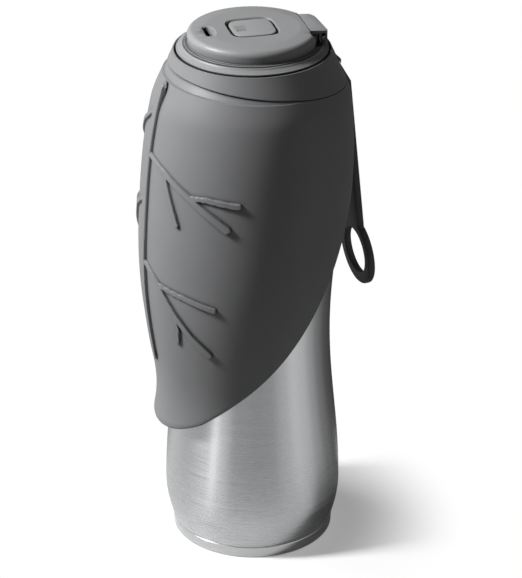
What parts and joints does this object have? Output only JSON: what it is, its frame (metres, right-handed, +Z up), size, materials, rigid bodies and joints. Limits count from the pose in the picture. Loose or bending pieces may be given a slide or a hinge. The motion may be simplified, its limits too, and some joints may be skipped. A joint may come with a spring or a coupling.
{
  "type": "dog travel water bottle",
  "caption": "Double-walled steel travel bottle with a push-valve lid under a hinged cover, a carry strap and a leaf-shaped silicone cup that turns up to make a drinking bowl.",
  "frame": {"origin": "middle of the foot, on the surface that the bottle stands on", "axes": "+Z up along the bottle, -Y towards the leaf's midrib, +Y towards the strap"},
  "size_m": [0.0966, 0.1096, 0.2534],
  "materials": {
    "bottle_steel": "brushed round the bottle",
    "base_steel": "brushed, brighter than the bottle",
    "inner_steel": "electropolished",
    "solder": "dull",
    "pin_steel": "satin",
    "silicone": "fine matte grey silicone",
    "strap_silicone": "fine matte grey silicone",
    "seal_silicone": "pale silicone",
    "lid_plastic": "finely textured grey",
    "button_plastic": "smooth grey",
    "dark_plastic": "smooth dark grey"
  },
  "bodies": {
    "bottle": {"outer_shell": "bottle_steel", "inner_flask": "inner_steel", "base_cap": "base_steel", "vacuum_plug": "solder", "neck_ring": "dark_plastic", "cup_collar": "silicone", "strap_bar": "pin_steel"},
    "gasket": {"lid_gasket": "seal_silicone"},
    "lid": {"lid_base": "lid_plastic", "stem_guide": "dark_plastic", "hinge_pin": "pin_steel", "vent_valve": "seal_silicone", "valve_spring": "pin_steel"},
    "cover": {"dome_cover": "lid_plastic", "dome_seal": "seal_silicone"},
    "button": {"push_button": "button_plastic", "button_seal": "seal_silicone"},
    "valve": {"valve_stem": "dark_plastic", "valve_plate": "dark_plastic", "valve_seal": "seal_silicone", "spring_cap": "dark_plastic", "stem_clip": "pin_steel"},
    "strap": {"carry_strap": "strap_silicone"},
    "cup": {"leaf_cup": "silicone"}
  },
  "joints": [
    {"name": "lid_rise", "type": "slide", "parent": "bottle", "child": "gasket", "axis": [0, 0, 1], "range_m": [0, 0.005]},
    {"name": "lid_turn", "type": "hinge", "parent": "gasket", "child": "lid", "pos_m": [0, 0, 0.2436], "axis": [0, 0, 1], "range_deg": [0, 450.5]},
    {"name": "cover_flip", "type": "hinge", "parent": "lid", "child": "cover", "pos_m": [0.00423, 0.0301, 0.2494], "axis": [-0.9903, 0.1392, 0], "range_deg": [0, 85]},
    {"name": "button_press", "type": "slide", "parent": "cover", "child": "button", "axis": [0, 0, -1], "range_m": [0, 0.0025], "stiffness_N_per_m": 400},
    {"name": "valve_open", "type": "slide", "parent": "lid", "child": "valve", "axis": [0, 0, -1], "range_m": [0, 0.0025], "stiffness_N_per_m": 600, "deforming": ["valve_spring"]},
    {"name": "strap_swing", "type": "hinge", "parent": "bottle", "child": "strap", "pos_m": [0, 0.0378, 0.2336], "axis": [1, 0, 0], "range_deg": [0, 80]},
    {"name": "cup_flip", "type": "hinge", "parent": "bottle", "child": "cup", "pos_m": [0, 0, 0.2346], "axis": [0, 0.9917, -0.1288], "range_deg": [0, 180], "deforming": ["leaf_cup"]}
  ],
  "couplings": [
    {"joint": "lid_turn", "follows": "lid_rise", "rad_per_m": 1570.8},
    {"joint": "valve_open", "follows": "button_press", "ratio": 1}
  ]
}
